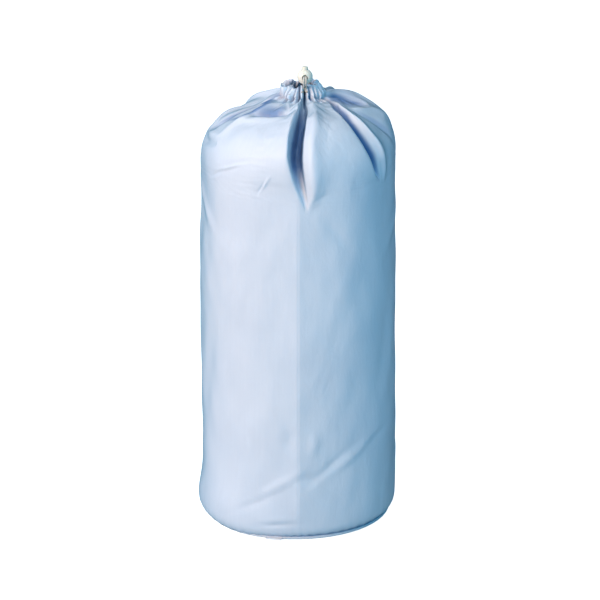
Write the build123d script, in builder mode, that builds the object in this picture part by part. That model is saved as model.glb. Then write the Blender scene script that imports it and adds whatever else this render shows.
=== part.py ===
from build123d import *
import math
import os

# Round-bottomed drawstring laundry bag, standing filled and cinched shut.
# Frame: origin on the floor at the centre of the round base, +Z up. The sewn side seam and
# the cord exit face -Y (front); +X is on the right seen from the front. Millimetres throughout.

os.makedirs("parts", exist_ok=True)

# ---- shared dimensions ----
cloth = 0.8                     # thickness of the woven polyester panels
mouth_x = 8.0                   # the gathered mouth sits a little to the right of the axis
gather_inner = 20.0             # radius left open in the middle of the cinched hem
gather_outer = 36.0
gather_mid = (gather_inner + gather_outer) / 2
hem_bottom = 664.0              # stitch line of the drawcord channel
hem_top = 684.0
channel_z = (hem_bottom + hem_top) / 2
cord_r = 1.5
piping_ring = 142.0             # centre line radius of the piped base seam
piping_r = 3.0
piping_z = 3.2
ball_r = 11.6                   # cord lock body
lock_x = 10.0
lock_y = -28.0
lock_z = 697.0


def save(builder, name):
    """Label a finished piece and write its STEP file."""
    builder.part.label = name
    export_step(builder.part, f"parts/{name}.step")


def inset(points, distance):
    """The same meridian moved inwards along its own normals."""
    moved = []
    for i, (r, z) in enumerate(points):
        r_before, z_before = points[max(i - 1, 0)]
        r_after, z_after = points[min(i + 1, len(points) - 1)]
        step_r, step_z = r_after - r_before, z_after - z_before
        length = math.hypot(step_r, step_z)
        moved.append((r - distance * step_z / length, z + distance * step_r / length))
    return moved


# ---- side panel: one rectangle of cloth rolled into a tube, its top drawn in to the mouth ----
belly_radius = 153.0            # widest part of the wall, just above the base
shoulder_radius = 147.0         # wall radius where the gathered top begins
shoulder_z = 560.0
seam_allowance = 10.0           # how far the joined edges of the side seam stand inwards
fin_bottom = 11.0               # the seam fin stops short of the base seam
mouth_cut_z = shoulder_z + 60   # the mouth cut starts below the top of the dome
mouth_cut_h = 80

# (radius, z) of the outer face, from the base up
meridian = [
    (142.9, 7.0),
    (150.0, 24.0),
    (belly_radius, 62.0),
    (151.6, 190.0),
    (149.4, 340.0),
    (147.8, 470.0),
    (shoulder_radius, shoulder_z),
    (143.5, 588.0),
    (131.0, 616.0),
    (108.0, 639.0),
    (78.0, 653.5),
    (52.0, 660.5),
    (16.0, 663.0),
]
inner_face = inset(meridian, cloth)
# (y, z) of the fin's two long edges, on the front side
fin_outer = [(-r, z) for r, z in inset(meridian, cloth / 2)]
fin_inner = [(-r, z) for r, z in inset(meridian, seam_allowance)]

with BuildPart() as side_panel:
    with BuildSketch(Plane.XZ):
        with BuildLine():
            Spline(meridian)
            Line(meridian[-1], inner_face[-1])
            Spline(inner_face[::-1])
            Line(inner_face[0], meridian[0])
        make_face()
    revolve(axis=Axis.Z)
    # the two vertical edges meet at the front: their seam allowance is a double-thickness fin
    with BuildSketch(Plane.YZ.offset(-cloth)):
        with BuildLine():
            Spline(fin_outer)
            Line(fin_outer[-1], fin_inner[-1])
            Spline(fin_inner[::-1])
            Line(fin_inner[0], fin_outer[0])
        make_face()
        # keep only what lies above fin_bottom
        with Locations((-belly_radius, fin_bottom)):
            Rectangle(
                2 * belly_radius,
                hem_top,
                align=(Align.CENTER, Align.MIN),
                mode=Mode.INTERSECT,
            )
    extrude(amount=2 * cloth)
    # the open middle of the cinched mouth
    with BuildSketch(Plane.XY.offset(mouth_cut_z)):
        with Locations((mouth_x, 0)):
            Circle(gather_inner)
    extrude(amount=mouth_cut_h, mode=Mode.SUBTRACT)
save(side_panel, "side_panel")

# ---- base panel: a round disc whose rim turns up inside the piped seam ----
base_r = piping_ring - piping_r - 0.3   # clear of the piping
rim_top = 5.0
outer_bevel = 2.2               # bevel under the rim
inner_bevel = 2.5               # where the inner bevel ends, from the outer radius and the floor

with BuildPart() as base_panel:
    with BuildSketch(Plane.XZ):
        with BuildLine():
            Polyline(
                (0, 0),
                (base_r - outer_bevel, 0),
                (base_r, outer_bevel),
                (base_r, rim_top),
                (base_r - cloth, rim_top),
                (base_r - cloth, inner_bevel),
                (base_r - inner_bevel, cloth),
                (0, cloth),
                (0, 0),
            )
        make_face()
    revolve(axis=Axis.Z)
save(base_panel, "base_panel")

# ---- piping round the base seam: a bias strip wrapped on a filler cord ----
piping_core_r = 2.1
core_clearance = 0.05

with BuildPart() as piping_cover:
    with BuildSketch(Plane.XZ):
        with Locations((piping_ring, piping_z)):
            Circle(piping_r)
            Circle(piping_core_r + core_clearance, mode=Mode.SUBTRACT)
    revolve(axis=Axis.Z)
save(piping_cover, "piping_cover")

with BuildPart() as piping_core:
    with BuildSketch(Plane.XZ):
        with Locations((piping_ring, piping_z)):
            Circle(piping_core_r)
    revolve(axis=Axis.Z)
save(piping_core, "piping_core")

# ---- hem channel: the folded casing round the mouth, bunched into pleats round the cord ----
hem_pleats = 26
pleat_r = 3.4
pleat_ring = gather_outer - pleat_r     # the pleats' rounded edges are centred on this radius
hem_core_extra = 0.6            # how far the solid ring reaches past the pleat centres
channel_clearance = 0.9         # round the cord
slit_w = 10.0
slit_overrun = 1                # past the hem, below and above

with BuildPart() as hem_channel:
    with BuildSketch(Plane.XY.offset(hem_bottom)):
        with Locations((mouth_x, 0)):
            Circle(pleat_ring + hem_core_extra)
            with PolarLocations(pleat_ring, hem_pleats):
                Circle(pleat_r)
            Circle(gather_inner, mode=Mode.SUBTRACT)
    extrude(amount=hem_top - hem_bottom)
    # the tunnel the drawcord runs in
    with BuildSketch(Plane.XZ):
        with Locations((mouth_x + gather_mid, channel_z)):
            Circle(cord_r + channel_clearance)
    revolve(axis=Axis((mouth_x, 0, 0), (0, 0, 1)), mode=Mode.SUBTRACT)
    # the slit at the side seam where both cord ends come out
    with BuildSketch(Plane.XY.offset(hem_bottom - slit_overrun)):
        with Locations((lock_x, -gather_outer)):
            Rectangle(slit_w, 2 * (gather_outer - gather_inner) + 8)
    extrude(amount=hem_top - hem_bottom + 2 * slit_overrun, mode=Mode.SUBTRACT)
save(hem_channel, "hem_channel")

# ---- drawcord, first length: the loop inside the hem and the two risers up to the lock ----
strand_offset = 1.8             # each strand's offset from the lock's centre plane
exit_offset = 3.6               # the same, where the strands leave the channel
riser_y = lock_y - ball_r - cord_r - 0.4    # just in front of the lock
riser_top = lock_z - 8.0
bow_x, bow_y, bow_z = 0.7, 2.0, 0.6     # outwards, forwards and up, halfway to the riser
riser_start = channel_z + 7.0   # the strands are upright from about here


def on_ring(angle):
    """Point on the channel's centre line; the angle runs from the front towards +X."""
    return (
        mouth_x + gather_mid * math.sin(angle),
        -gather_mid * math.cos(angle),
        channel_z,
    )


def loop_end(side):
    """Where the right (1) or left (-1) strand leaves the channel."""
    return on_ring(math.asin((lock_x + side * exit_offset - mouth_x) / gather_mid))


with BuildPart() as drawcord_loop:
    with BuildLine() as loop_path:
        ThreePointArc(loop_end(1), on_ring(math.pi), loop_end(-1))
    with BuildSketch(Plane(origin=loop_end(1), z_dir=loop_path.line % 0)):
        Circle(cord_r)
    sweep(path=loop_path.line)
    for side in (1, -1):
        end = loop_end(side)
        strand_x = lock_x + side * strand_offset
        with BuildLine() as riser_path:
            Spline(
                end,
                (strand_x + side * bow_x, (end[1] + riser_y) / 2 - bow_y, channel_z + bow_z),
                (strand_x, riser_y, riser_start),
                (strand_x, riser_y, riser_top),
                tangents=((-side * 0.6, -1.0, 0.0), (0, 0, 1)),
            )
        with BuildSketch(Plane(origin=end, z_dir=riser_path.line % 0)):
            Circle(cord_r)
        sweep(path=riser_path.line)
        # round off the joint between loop and riser
        with Locations(end):
            Sphere(cord_r)
save(drawcord_loop, "drawcord_loop")

# ---- drawcord, second length: through the lock, over the gathers and down the back ----
tail_start = riser_top + 0.3
cord_z = lock_z + 1.3           # height of the strands inside the lock
bend_r = 5.0
knot_y = 155.2
knot_z = 406.0
knot_r = 4.6
free_end_l = 16.0
free_end_drop = 10.0            # from the knot to the middle of a free end
free_end_offset = 3.4           # sideways from the knot
free_end_tilt = 14.0            # degrees, splayed outwards at the bottom

# (y, z) of both strands' centre lines
tail_points = [
    (riser_y, tail_start),
    (riser_y, cord_z),
    (lock_y + ball_r + 6.0, cord_z),
    (28.0, 691.0),
    (45.0, 682.0),
    (61.0, 665.5),
    (88.0, 653.0),
    (111.0, 641.0),
    (133.8, 618.5),
    (146.4, 589.0),
    (149.9, 560.0),
    (150.4, 500.0),
    (151.4, knot_z),
]

with BuildPart() as drawcord_tails:
    for side in (1, -1):
        strand_x = lock_x + side * strand_offset
        strand_plane = Plane(origin=(strand_x, 0, 0), x_dir=(0, 1, 0), z_dir=(1, 0, 0))
        with BuildLine(strand_plane) as tail_path:
            FilletPolyline(*tail_points, radius=bend_r)
        with BuildSketch(Plane(origin=(strand_x, riser_y, tail_start), z_dir=(0, 0, 1))):
            Circle(cord_r)
        sweep(path=tail_path.wire())
    # the overhand knot that joins the two ends, and the two short free ends under it
    with Locations((lock_x, knot_y, knot_z)):
        Sphere(knot_r)
    for side in (1, -1):
        free_end_at = (lock_x + side * free_end_offset, knot_y, knot_z - free_end_drop)
        with Locations(Location(free_end_at, (0, -side * free_end_tilt, 0))):
            Cylinder(cord_r, free_end_l)
save(drawcord_tails, "drawcord_tails")

# ---- cord lock body: a moulded ball, bored from above for the plunger and across for the cord ----
plunger_r = 4.7
bore_r = plunger_r + 0.15
bore_floor = lock_z - 8.6
hole_r = 3.9                    # cord passage
flare_r = 4.9                   # wide end of the passage's mouths
flare_l = 3.0
flare_inset = 1.2               # from the ball's surface to the middle of the flare
flat_depth = 1.3                # height taken off the top of the ball
cross_reach = 20                # cross cuts run this far behind and in front of the lock
cross_plane = Plane.XZ.offset(-lock_y - cross_reach)

with BuildPart() as lock_body:
    with Locations((lock_x, lock_y, lock_z)):
        Sphere(ball_r)
    # flat collar round the button
    with BuildSketch(Plane.XY.offset(lock_z + ball_r - flat_depth)):
        with Locations((lock_x, lock_y)):
            Circle(ball_r)
    extrude(amount=3, mode=Mode.SUBTRACT)
    # plunger bore, out through the top
    with BuildSketch(Plane.XY.offset(bore_floor)):
        with Locations((lock_x, lock_y)):
            Circle(bore_r)
    extrude(amount=30, mode=Mode.SUBTRACT)
    # cord passage, front to back, with flared mouths
    with BuildSketch(cross_plane):
        with Locations((lock_x, lock_z)):
            Circle(hole_r)
    extrude(amount=2 * cross_reach, mode=Mode.SUBTRACT)
    for side in (1, -1):
        flare_at = (lock_x, lock_y + side * (ball_r - flare_inset), lock_z)
        with Locations(Location(flare_at, (90 * side, 0, 0))):
            Cone(flare_r, hole_r, flare_l, mode=Mode.SUBTRACT)
save(lock_body, "lock_body")

# ---- plunger: a round button whose stem carries a window for the cord ----
button_top = lock_z + ball_r + 3.4
button_fillet = 1.2
stem_bottom = lock_z - 4.6
window_floor = lock_z - 0.3     # just under the cord
window_h = 2 * hole_r
window_w = window_h - 0.4
window_corner = 1.2
seat_r = 3.5
seat_depth = 1.0

with BuildPart() as lock_plunger:
    with BuildSketch(Plane.XY.offset(stem_bottom)):
        with Locations((lock_x, lock_y)):
            Circle(plunger_r)
    extrude(amount=button_top - stem_bottom)
    fillet(lock_plunger.edges().sort_by(Axis.Z)[-1], button_fillet)
    # window, front to back
    with BuildSketch(cross_plane):
        with Locations((lock_x, window_floor + window_h / 2)):
            RectangleRounded(window_w, window_h, window_corner)
    extrude(amount=2 * cross_reach, mode=Mode.SUBTRACT)
    # seat for the spring, cut from below the stem
    with BuildSketch(Plane.XY.offset(stem_bottom - 1)):
        with Locations((lock_x, lock_y)):
            Circle(seat_r)
    extrude(amount=1 + seat_depth, mode=Mode.SUBTRACT)
save(lock_plunger, "lock_plunger")

# ---- spring: stainless compression coil under the plunger ----
wire_r = 0.3
spring_mid_r = 2.7
spring_turns = 3.5
end_gap = wire_r + 0.05         # wire centre to the face it bears on
spring_bottom = bore_floor + end_gap
spring_h = stem_bottom + seat_depth - end_gap - spring_bottom

with BuildPart() as lock_spring:
    with BuildLine() as coil:
        Helix(
            pitch=spring_h / spring_turns,
            height=spring_h,
            radius=spring_mid_r,
            center=(lock_x, lock_y, spring_bottom),
        )
    with BuildSketch(Plane(origin=coil.line @ 0, z_dir=coil.line % 0)):
        Circle(wire_r)
    sweep(path=coil.line, is_frenet=True)
save(lock_spring, "lock_spring")

# ---- care label: a blank satin ribbon lying outwards from the piping at the front left ----
label_w = 24.0
label_l = 14.0
label_t = 0.6
label_corner = 0.8
label_gap = 0.6                 # from the piping to the label's near edge
label_angle = math.radians(-14.0)   # from the front, positive towards +X
label_dir = Vector(math.sin(label_angle), -math.cos(label_angle), 0)
label_side = Vector(math.cos(label_angle), math.sin(label_angle), 0)
label_centre_r = piping_ring + piping_r + label_gap + label_l / 2
label_origin = label_dir * label_centre_r + Vector(0, 0, piping_z - label_t / 2)

with BuildPart() as care_label:
    with BuildSketch(Plane(origin=label_origin, x_dir=label_side, z_dir=(0, 0, 1))):
        RectangleRounded(label_w, label_l, label_corner)
    extrude(amount=label_t)
save(care_label, "care_label")
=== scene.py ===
"""A filled drawstring bag of thin satin, with a gathered top, a cord and a spring-loaded cord lock.

The bag stands on z = 0 with its axis along +Z. Its front (wall seam, hem slit, lock) faces -Y and
+X is on the right seen from the front. The cord runs back over the top and hangs down behind, at
+Y. Angles round the bag start at the front and grow towards +X.
"""
import math

import bpy
import numpy as np
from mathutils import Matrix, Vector


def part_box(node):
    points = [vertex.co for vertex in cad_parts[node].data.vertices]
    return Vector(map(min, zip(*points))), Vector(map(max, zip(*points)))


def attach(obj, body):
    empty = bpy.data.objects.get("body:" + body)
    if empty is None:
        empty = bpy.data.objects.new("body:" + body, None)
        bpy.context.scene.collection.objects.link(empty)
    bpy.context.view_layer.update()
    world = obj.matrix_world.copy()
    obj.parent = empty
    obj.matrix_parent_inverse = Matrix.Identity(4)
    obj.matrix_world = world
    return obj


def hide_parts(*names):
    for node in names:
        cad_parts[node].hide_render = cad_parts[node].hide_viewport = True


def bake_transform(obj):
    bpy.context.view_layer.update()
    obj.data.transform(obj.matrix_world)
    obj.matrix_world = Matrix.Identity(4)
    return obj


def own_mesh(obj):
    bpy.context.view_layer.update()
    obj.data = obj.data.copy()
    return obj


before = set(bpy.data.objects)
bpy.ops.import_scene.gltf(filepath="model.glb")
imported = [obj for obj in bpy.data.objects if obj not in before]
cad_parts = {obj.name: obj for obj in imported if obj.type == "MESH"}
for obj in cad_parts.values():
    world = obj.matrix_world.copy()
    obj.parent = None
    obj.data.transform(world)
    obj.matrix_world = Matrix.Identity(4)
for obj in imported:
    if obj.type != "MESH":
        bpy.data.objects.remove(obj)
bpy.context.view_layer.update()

MM = 0.001
scene = bpy.context.scene
lock_lo, lock_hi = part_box("lock_body")
LOCK_X, LOCK_Y = (lock_lo.x + lock_hi.x) / 2 / MM, -28.0
MOUTH_X = 8.0            # the mouth sits a little right of the bag's axis
MOUTH_R = 28.0
SLIT = math.radians(3.0)  # angle of the slit in the hem
HEM_JOIN_Z = 664.0       # where the bag's cloth meets the hem channel
PIPING_R, PIPING_Z = 142.0, 3.15


# ------------------------------------------------------------------ maths helpers
def spline(knots, values, wanted):
    """Natural cubic spline through (knots, values), read at wanted."""
    knots, values, wanted = (np.asarray(item, float) for item in (knots, values, wanted))
    count = len(knots)
    step = np.diff(knots)
    system = np.zeros((count, count))
    target = np.zeros(count)
    system[0, 0] = system[-1, -1] = 1
    for i in range(1, count - 1):
        system[i, i - 1 : i + 2] = step[i - 1], 2 * (step[i - 1] + step[i]), step[i]
        target[i] = 6 * ((values[i + 1] - values[i]) / step[i]
                         - (values[i] - values[i - 1]) / step[i - 1])
    bend = np.linalg.solve(system, target)
    i = np.clip(np.searchsorted(knots, wanted) - 1, 0, count - 2)
    d = wanted - knots[i]
    slope = (values[i + 1] - values[i]) / step[i] - step[i] * (2 * bend[i] + bend[i + 1]) / 6
    return values[i] + slope * d + bend[i] / 2 * d * d + (bend[i + 1] - bend[i]) / (6 * step[i]) * d**3


def smooth(share):
    """Eased step from 0 to 1 as share goes from 0 to 1."""
    share = np.clip(share, 0, 1)
    return share * share * (3 - 2 * share)


def ease(value, start, end):
    return smooth((value - start) / (end - start))


def wrap(angle):
    """Angle in radians brought to -pi..pi."""
    return (angle + np.pi) % (2 * np.pi) - np.pi


def swell(angle, centre_deg, width):
    """Bell of height 1 round centre_deg; angle and width in radians."""
    return np.exp(-(wrap(angle - math.radians(centre_deg)) / width) ** 2)


def full_turn(count):
    return np.linspace(0, 2 * np.pi, count, endpoint=False)


def arc_length(points):
    return np.r_[0, np.cumsum(np.linalg.norm(np.diff(points, axis=0), axis=1))]


def read_along(wanted, distance, points):
    return np.stack([np.interp(wanted, distance, points[:, k]) for k in range(3)], 1)


def noise_on_bag(angle, place, seed, terms, top_frequency, length):
    """Smooth seeded noise on the bag, periodic round it."""
    random = np.random.default_rng(seed)
    out = np.zeros(np.broadcast(angle, place).shape)
    for _ in range(terms):
        round_freq = int(random.integers(1, top_frequency + 1))
        up_freq = random.uniform(-1, 1) / length
        phase = random.uniform(0, 6.283)
        out += np.cos(round_freq * angle + up_freq * place * 2 * np.pi + phase) / math.sqrt(terms)
    return out


# ------------------------------------------------------------------ mesh helpers
def assign(ob, material):
    ob.data.materials.clear()
    ob.data.materials.append(material)


def new_mesh(name, verts, faces, uvs=None, material=None, shade_smooth=True):
    """verts in metres; uvs: one (u, v) per face corner, in metres, or None."""
    mesh = bpy.data.meshes.new(name)
    mesh.from_pydata([tuple(p) for p in verts], [], [tuple(face) for face in faces])
    if uvs is not None:
        layer = mesh.uv_layers.new(name="UVMap")
        layer.data.foreach_set("uv", np.asarray(uvs, np.float32).ravel())
    mesh.validate()
    mesh.update()
    if shade_smooth:
        mesh.polygons.foreach_set("use_smooth", [True] * len(mesh.polygons))
    ob = bpy.data.objects.new(name, mesh)
    scene.collection.objects.link(ob)
    if material is not None:
        assign(ob, material)
    return ob


def grid_faces(row_count, column_count, closed):
    """Faces of a grid of points, and the (row, column) of each face corner."""
    strips = column_count if closed else column_count - 1
    i, j = np.meshgrid(np.arange(row_count - 1), np.arange(strips), indexing="ij")
    i, j = i.ravel(), j.ravel()
    corner = np.stack([np.stack(pair, 1) for pair in ((i, j), (i, j + 1), (i + 1, j + 1), (i + 1, j))], 1)
    return corner[..., 0] * column_count + corner[..., 1] % column_count, corner


def paint_shade(ob, values):
    """Write painted shade, a value per vertex from 0 to 1, as a colour attribute."""
    layer = ob.data.color_attributes.new(name="painted_fold_shade", type="FLOAT_COLOR", domain="POINT")
    v = np.clip(np.asarray(values, np.float32).ravel(), 0, 1)
    layer.data.foreach_set("color", np.stack([v, v, v, np.ones_like(v)], 1).ravel())


BRAID_PITCH = 3.1        # of the ripple along a cord
TUBE_UV_RADIUS = 1.5     # u runs round every tube as if it had this radius


def tube(name, path, radius, material, sides=12, ripple=0.0, closed=False):
    """A round cord along path (mm), with domed ends unless closed; UV v runs along it."""
    path = np.asarray(path, float)
    count = len(path)
    if closed:
        tangent = np.roll(path, -1, 0) - np.roll(path, 1, 0)
    else:
        tangent = np.gradient(path, axis=0)
    tangent /= np.linalg.norm(tangent, axis=1)[:, None]
    # carry one normal along the path without twist
    previous = np.array([1.0, 0, 0]) if abs(tangent[0][0]) < 0.8 else np.array([0, 0, 1.0])
    normal = np.zeros_like(path)
    for i in range(count):
        side = previous - tangent[i] * (previous @ tangent[i])
        normal[i] = side / np.linalg.norm(side)
        previous = normal[i]
    binormal = np.cross(tangent, normal)
    distance = arc_length(path)
    turn = full_turn(sides)
    around = (np.cos(turn)[None, :, None] * normal[:, None]
              + np.sin(turn)[None, :, None] * binormal[:, None])
    phase = distance[:, None] * 2 * np.pi / BRAID_PITCH
    reach = radius + ripple * (np.cos(phase + 2 * turn) * 0.5 + np.cos(phase - 2 * turn) * 0.5)
    verts = list((path[:, None] + reach[..., None] * around).reshape(-1, 3) * MM)
    faces, corner = grid_faces(count, sides, True)
    faces = faces.tolist()
    uvs = np.stack([corner[..., 1] / sides * 2 * np.pi * TUBE_UV_RADIUS * MM,
                    distance[corner[..., 0]] * MM], -1).reshape(-1, 2).tolist()
    if closed:
        first = np.arange(sides)
        last = first + (count - 1) * sides
        faces += np.stack([last, np.roll(last, -1), np.roll(first, -1), first], 1).tolist()
        uvs += [(0, 0)] * 4 * sides
        return new_mesh(name, verts, faces, uvs, material)
    for row, sign in ((0, -1), (count - 1, 1)):
        ring = np.arange(sides) + row * sides
        end_uv = (0, distance[row] * MM)
        for height in (0.5, 0.87):
            dome = (path[row] + sign * tangent[row] * radius * height * 0.55
                    + radius * math.sqrt(1 - height * height) * around[row])
            outer = np.arange(sides) + len(verts)
            verts.extend(dome * MM)
            quads = np.stack([ring, np.roll(ring, -1), np.roll(outer, -1), outer], 1)
            faces += quads[:, ::sign].tolist()
            uvs += [end_uv] * 4 * sides
            ring = outer
        tip = np.full(sides, len(verts))
        verts.append((path[row] + sign * tangent[row] * radius * 0.6) * MM)
        faces += np.stack([ring, np.roll(ring, -1), tip], 1)[:, ::sign].tolist()
        uvs += [end_uv] * 3 * sides
    return new_mesh(name, verts, faces, uvs, material)


def curve_points(control, step=1.0):
    """Smooth path through control points (mm), in even steps."""
    control = np.asarray(control, float)
    chord = arc_length(control)
    fine = np.linspace(0, chord[-1], max(int(chord[-1] / step * 2), 8))
    points = np.stack([spline(chord, control[:, k], fine) for k in range(3)], 1)
    distance = arc_length(points)
    even = np.linspace(0, distance[-1], max(int(distance[-1] / step), 4))
    return read_along(even, distance, points)


# ------------------------------------------------------------------ materials
class Net:
    """Short hand for wiring shader nodes; each method returns an output socket."""

    def __init__(self, tree):
        self.tree = tree

    def add(self, kind):
        return self.tree.nodes.new("ShaderNode" + kind)

    def put(self, socket, value):
        if isinstance(value, bpy.types.NodeSocket):
            self.tree.links.new(value, socket)
        else:
            socket.default_value = value

    def feed(self, node, values):
        for name, value in values.items():
            self.put(node.inputs[name], value)

    def math(self, operation, *values, clamp=False):
        node = self.add("Math")
        node.operation = operation
        node.use_clamp = clamp
        for socket, value in zip(node.inputs, (*values, 0.0, 0.0)):
            self.put(socket, value)
        return node.outputs[0]

    def noise(self, vector, scale, detail=2.0, rough=0.5, distort=0.0):
        node = self.add("TexNoise")
        self.feed(node, {"Vector": vector, "Scale": scale, "Detail": detail,
                         "Roughness": rough, "Distortion": distort})
        return node.outputs["Fac"]

    def mapping(self, vector, scale, rotation=(0, 0, 0)):
        node = self.add("Mapping")
        self.feed(node, {"Vector": vector, "Scale": scale, "Rotation": rotation})
        return node.outputs[0]

    def ramp(self, factor, *stops):
        """Two stops, each (position, rgb)."""
        node = self.add("ValToRGB")
        self.put(node.inputs[0], factor)
        for element, (position, colour) in zip(node.color_ramp.elements, stops):
            element.position = position
            element.color = (*colour, 1)
        return node.outputs[0]

    def mix(self, factor, first, second, blend="MIX"):
        node = self.add("Mix")
        node.data_type = "RGBA"
        node.blend_type = blend
        for index, value in ((0, factor), (6, first), (7, second)):
            self.put(node.inputs[index], value)
        return node.outputs[2]

    def bump(self, height, strength, distance, normal=None):
        node = self.add("Bump")
        self.feed(node, {"Height": height, "Strength": strength, "Distance": distance})
        if normal is not None:
            self.put(node.inputs["Normal"], normal)
        return node.outputs[0]

    def split(self, vector):
        node = self.add("SeparateXYZ")
        self.put(node.inputs[0], vector)
        return node.outputs

    def coord(self, kind):
        return self.add("TexCoord").outputs[kind]

    def wave(self, value, pitch):
        return self.math("SINE", self.math("MULTIPLY", value, 2 * math.pi / pitch))


def node_material(name):
    material = bpy.data.materials.new(name)
    material.use_nodes = True
    material.node_tree.nodes.clear()
    net = Net(material.node_tree)
    out = net.add("OutputMaterial")
    shader = net.add("BsdfPrincipled")
    net.put(out.inputs[0], shader.outputs[0])
    return material, net, shader


SATIN_DARK, SATIN_PALE = (0.535, 0.618, 0.742), (0.585, 0.662, 0.778)
# painted shade at the bottom of folds
SATIN_FOLD_SHADE = (0.17, 0.31, 0.55, 1)     # multiplies the colour at the bottom of a fold
# painted shade where the cloth is seen edge-on
SATIN_EDGE_SHADE = (0.06, 0.34, 0.46, 1)     # multiplies the colour seen edge-on
SATIN_THREAD = 0.00035                    # pitch of the weave


def satin_cloth(name, tint=(1, 1, 1), wrinkle=1.0):
    """Thin satin polyester: fine plain weave, broad sheen, faint slubs and micro creases."""
    material, net, shader = node_material(name)
    uv = net.coord("UV")
    place = net.coord("Object")
    # cool blue with soft mottling and long streaks
    mottle = net.noise(place, scale=9.0, detail=3.0, rough=0.55)
    streak = net.noise(net.mapping(uv, scale=(260, 9, 1)), scale=1.0, rough=0.6)
    tone = net.math("ADD", net.math("MULTIPLY", mottle, 0.75), net.math("MULTIPLY", streak, 0.25))
    dark, pale = (tuple(c * t for c, t in zip(rgb, tint)) for rgb in (SATIN_DARK, SATIN_PALE))
    colour = net.ramp(tone, (0.34, dark), (0.66, pale))
    # painted shade: the colour is deepened to blue at the bottom of folds, as far as the per-vertex shade
    # value says
    shade_attribute = net.add("Attribute")
    shade_attribute.attribute_name = "painted_fold_shade"
    folded = net.mix(1.0, colour, SATIN_FOLD_SHADE, "MULTIPLY")
    colour = net.mix(shade_attribute.outputs["Fac"], colour, folded)
    # painted shade: the colour darkens where the cloth is seen edge-on, towards its outline
    facing = net.add("LayerWeight")
    net.feed(facing, {"Blend": 0.5})
    edge_shade = net.math("POWER", facing.outputs["Facing"], 3.2)
    colour = net.mix(edge_shade, colour, net.mix(1.0, colour, SATIN_EDGE_SHADE, "MULTIPLY"))
    # weave of two crossed sine threads, slubs along both, and two sizes of crease
    across, along = net.split(uv)[:2]
    weft = net.wave(across, SATIN_THREAD)
    warp = net.wave(along, SATIN_THREAD)
    weave = net.math("MULTIPLY", weft, warp)
    slub_one = net.noise(net.mapping(uv, scale=(90, 900, 1)), scale=1.0)
    slub_two = net.noise(net.mapping(uv, scale=(900, 70, 1)), scale=1.0)
    small = net.noise(net.mapping(place, scale=(38, 38, 20)),
                      scale=1.0, detail=4.0, rough=0.55, distort=0.25)
    broad = net.noise(net.mapping(place, scale=(9, 9, 4), rotation=(0.3, 0.5, 0.2)),
                      scale=1.0, detail=3.0, distort=0.4)
    normal = net.bump(broad, strength=0.60 * wrinkle, distance=0.012)
    normal = net.bump(small, strength=0.48 * wrinkle, distance=0.0028, normal=normal)
    slubs = net.math("ADD", slub_one, slub_two)
    normal = net.bump(slubs, strength=0.16, distance=0.00025, normal=normal)
    normal = net.bump(weave, strength=0.10, distance=0.00008, normal=normal)
    net.feed(shader, {
        "Base Color": colour,
        "Normal": normal,
        "Roughness": net.math("MULTIPLY_ADD", streak, 0.10, 0.43),
        "Specular IOR Level": 0.55,
        "Sheen Weight": 0.10,
        "Sheen Roughness": 0.45,
        "Sheen Tint": (0.85, 0.93, 1.0, 1),
    })
    return material


def cord_material(name, colour):
    """Braided cord: two sets of crossing strands, soft lint."""
    material, net, shader = node_material(name)
    around, along = net.split(net.coord("UV"))[:2]
    rise = net.math("MULTIPLY", along, 2 * math.pi / (BRAID_PITCH * MM))
    turn = net.math("MULTIPLY", around, 4 / (TUBE_UV_RADIUS * MM))
    strand_one = net.math("SINE", net.math("ADD", rise, turn))
    strand_two = net.math("SINE", net.math("SUBTRACT", rise, turn))
    braid = net.math("MAXIMUM", net.math("ABSOLUTE", strand_one), net.math("ABSOLUTE", strand_two))
    lint = net.noise(net.coord("Object"), scale=1400.0, detail=3.0, rough=0.6)
    # painted shade in the grooves between the strands; the lint varies the tone at random
    tone = net.math("ADD", net.math("MULTIPLY", braid, 0.8), net.math("MULTIPLY", lint, 0.25))
    base = net.ramp(tone, (0.35, tuple(c * 0.66 for c in colour)), (0.95, colour))
    normal = net.bump(braid, strength=0.6, distance=0.0004)
    normal = net.bump(lint, strength=0.25, distance=0.0001, normal=normal)
    net.feed(shader, {"Base Color": base, "Normal": normal, "Roughness": 0.8,
                      "Sheen Weight": 0.25})
    return material


def plastic_material(name, pale, dark):
    """Moulded plastic: faint cloudy tint, fine grain, a little light passing through."""
    material, net, shader = node_material(name)
    place = net.coord("Object")
    cloud = net.noise(place, scale=90.0, detail=3.0, rough=0.6)
    base = net.ramp(cloud, (0.3, dark), (0.7, pale))
    grain = net.noise(place, scale=2600.0)
    soft = net.noise(place, scale=220.0)
    normal = net.bump(soft, strength=0.12, distance=0.0006)
    normal = net.bump(grain, strength=0.16, distance=0.00008, normal=normal)
    net.feed(shader, {
        "Base Color": base,
        "Normal": normal,
        "Roughness": net.math("MULTIPLY_ADD", cloud, 0.18, 0.24),
        "Subsurface Weight": 0.12,
        "Subsurface Radius": (1.0, 0.8, 0.5),
        "Subsurface Scale": 0.002,
    })
    return material


def steel_material(name):
    """Drawn steel wire with fine scratches."""
    material, net, shader = node_material(name)
    stretched = net.mapping(net.coord("Object"), scale=(3000, 3000, 300))
    scratch = net.noise(stretched, scale=1.0, rough=0.6)
    net.feed(shader, {
        "Base Color": net.ramp(scratch, (0.3, (0.42, 0.42, 0.44)), (0.7, (0.66, 0.66, 0.68))),
        "Metallic": 1.0,
        "Roughness": net.math("MULTIPLY_ADD", scratch, 0.2, 0.22),
        "Normal": net.bump(scratch, strength=0.15, distance=0.00003),
    })
    return material


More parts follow.
